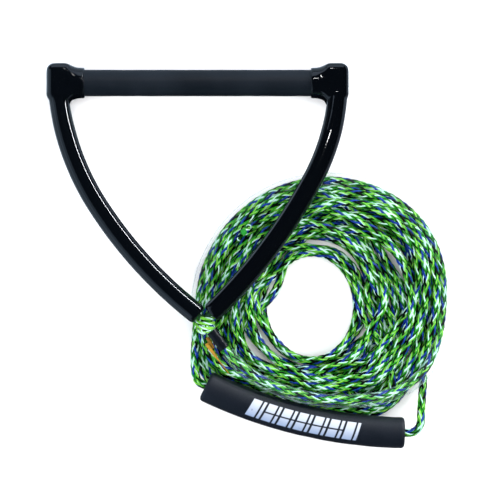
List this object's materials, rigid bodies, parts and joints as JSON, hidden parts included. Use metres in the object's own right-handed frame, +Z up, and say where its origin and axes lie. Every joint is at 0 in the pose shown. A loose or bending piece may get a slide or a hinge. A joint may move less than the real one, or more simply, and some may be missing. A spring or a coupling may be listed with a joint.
{
  "type": "tow rope handle",
  "caption": "Triangular water-sports tow handle with a padded bar and glossy arms, on a coiled braided rope with a bent foam float.",
  "frame": {"origin": "centre of the handle's footprint on the table: midway between the corners along X, midway between the bar side and the apex along Y, at the table's height", "axes": "+X along the bar to its right end, +Y from the apex towards the bar, +Z up from the table"},
  "size_m": [0.4111, 0.3912, 0.058],
  "materials": {
    "grip_rubber": "matte, fine pebble",
    "bar_metal": "satin",
    "core_foam": "closed-cell foam",
    "plug_plastic": "moulded nylon",
    "bridle_cord": "braided",
    "cover_gloss": "glossy dipped",
    "braided_rope": "braided, green with white, blue and black",
    "sleeve_rubber": "satin heat-shrink",
    "tag_webbing": "folded woven tape",
    "clear_pvc": "clear, flexible",
    "melted_rope": "melted smooth",
    "float_foam": "closed-cell foam"
  },
  "bodies": {
    "handle": {"grip_sleeve": "grip_rubber", "bar_tube": "bar_metal", "flotation_core": "core_foam", "end_plug_left": "plug_plastic", "end_plug_right": "plug_plastic", "stopper_knot_left": "bridle_cord", "stopper_knot_right": "bridle_cord", "bridle_rope": "bridle_cord", "yoke_cover_left": "cover_gloss", "yoke_cover_right": "cover_gloss", "apex_knot": "braided_rope"},
    "hitch": {"splice_sleeve": "sleeve_rubber", "rope_splice": "braided_rope", "size_tag": "tag_webbing"},
    "coil": {"rope_lead": "braided_rope", "clear_tube": "clear_pvc", "float_rope": "braided_rope", "rope_tail": "braided_rope", "rope_coil": "braided_rope", "boat_bight": "braided_rope", "rope_tip": "melted_rope"},
    "float": {"float_body": "float_foam"}
  },
  "joints": [
    {"name": "hitch_swing", "type": "hinge", "parent": "coil", "child": "hitch", "pos_m": [0.0279, -0.1528, 0.042], "axis": [0, 0, 1], "range_deg": [0, 9]},
    {"name": "handle_lift", "type": "hinge", "parent": "hitch", "child": "handle", "pos_m": [0.0084, -0.1273, 0.042], "axis": [1, 0, 0], "range_deg": [0, 85]},
    {"name": "float_slide", "type": "hinge", "parent": "coil", "child": "float", "pos_m": [0.2184, 0.2454, 0.032], "axis": [0, 0, 1], "range_deg": [-0.7, 0.7]}
  ]
}
